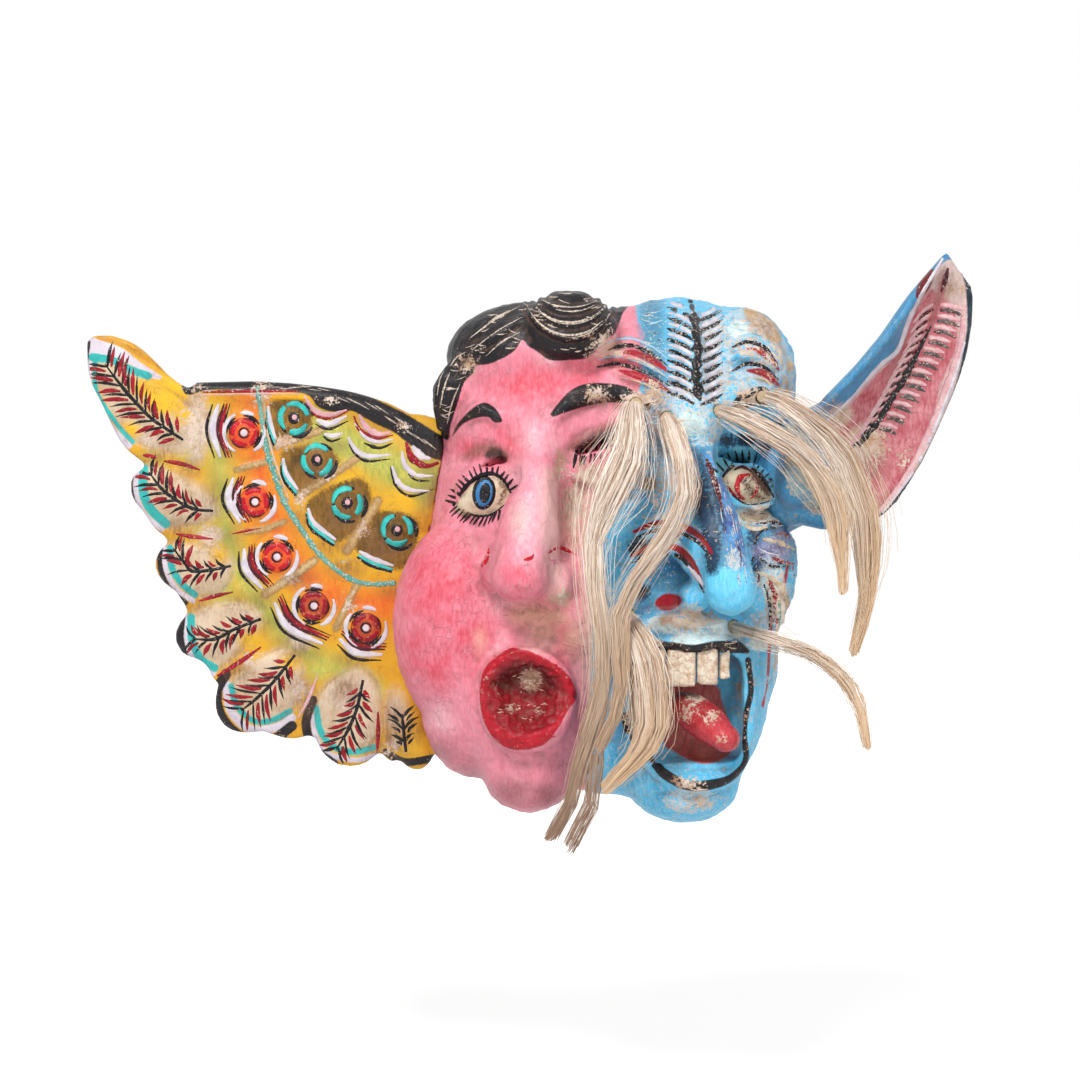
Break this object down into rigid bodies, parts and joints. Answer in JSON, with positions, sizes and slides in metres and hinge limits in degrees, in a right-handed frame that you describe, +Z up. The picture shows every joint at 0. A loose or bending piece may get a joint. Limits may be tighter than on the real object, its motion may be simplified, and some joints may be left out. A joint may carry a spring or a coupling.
{
  "type": "carved dance mask",
  "caption": "Carved, painted wooden dance mask: a puff-cheeked face grown into a laughing devil, with a feathered wing, a donkey ear, an open toothed mouth and tufts of pale horsehair.",
  "frame": {"origin": "on the flat back rim of the mask, above the hollow, where it lies on a wall", "axes": "+Y out of the back rim towards the wall, so the faces look along -Y; +X towards the ear, the viewer's right; +Z up"},
  "size_m": [0.4664, 0.1225, 0.3018],
  "materials": {
    "painted_shell": "worn brush paint over pale ground, pink and blue, bare wood inside",
    "painted_wing": "worn brush paint in yellow, orange, red, teal, white and black",
    "painted_ear": "worn brush paint, red and white inside, blue outside",
    "painted_tongue": "glossy red paint",
    "teeth": "ivory coloured, rubbed smooth",
    "nails": "dark forged iron",
    "horsehair": "pale horsehair, tan at the tips",
    "thread": "waxed tan thread wound round the root of a tuft"
  },
  "bodies": {
    "mask": {"mask_shell": "painted_shell", "wing": "painted_wing", "ear": "painted_ear", "tooth_1": "teeth", "tooth_2": "teeth", "tooth_3": "teeth", "tooth_4": "teeth", "tooth_5": "teeth", "tooth_6": "teeth", "tongue": "painted_tongue", "wing_nail_upper": "nails", "wing_nail_lower": "nails", "ear_nail_upper": "nails", "ear_nail_lower": "nails", "brow_binding_1": "thread", "brow_binding_2": "thread", "brow_binding_3": "thread", "brow_binding_4": "thread", "moustache_binding_left": "thread", "moustache_binding_right": "thread"},
    "brow_hair_1": {"brow_tuft_1": "horsehair"},
    "brow_hair_2": {"brow_tuft_2": "horsehair"},
    "brow_hair_3": {"brow_tuft_3": "horsehair"},
    "brow_hair_4": {"brow_tuft_4": "horsehair"},
    "moustache_hair_left": {"moustache_tuft_left": "horsehair"},
    "moustache_hair_right": {"moustache_tuft_right": "horsehair"}
  },
  "joints": [
    {"name": "brow_hair_1_lift", "type": "hinge", "parent": "mask", "child": "brow_hair_1", "pos_m": [0.021, -0.0793, -0.038], "axis": [-1, 0, 0], "range_deg": [0, 40]},
    {"name": "brow_hair_2_lift", "type": "hinge", "parent": "mask", "child": "brow_hair_2", "pos_m": [0.036, -0.0943, -0.046], "axis": [-1, 0, 0], "range_deg": [0, 40]},
    {"name": "brow_hair_3_lift", "type": "hinge", "parent": "mask", "child": "brow_hair_3", "pos_m": [0.063, -0.0882, -0.042], "axis": [0, -1, 0], "range_deg": [0, 30]},
    {"name": "brow_hair_4_lift", "type": "hinge", "parent": "mask", "child": "brow_hair_4", "pos_m": [0.086, -0.0752, -0.034], "axis": [0, -1, 0], "range_deg": [0, 30]},
    {"name": "moustache_hair_left_lift", "type": "hinge", "parent": "mask", "child": "moustache_hair_left", "pos_m": [0.017, -0.0804, -0.145], "axis": [-1, 0, 0], "range_deg": [0, 15]},
    {"name": "moustache_hair_right_lift", "type": "hinge", "parent": "mask", "child": "moustache_hair_right", "pos_m": [0.071, -0.0795, -0.151], "axis": [0, -1, 0], "range_deg": [0, 20]}
  ]
}
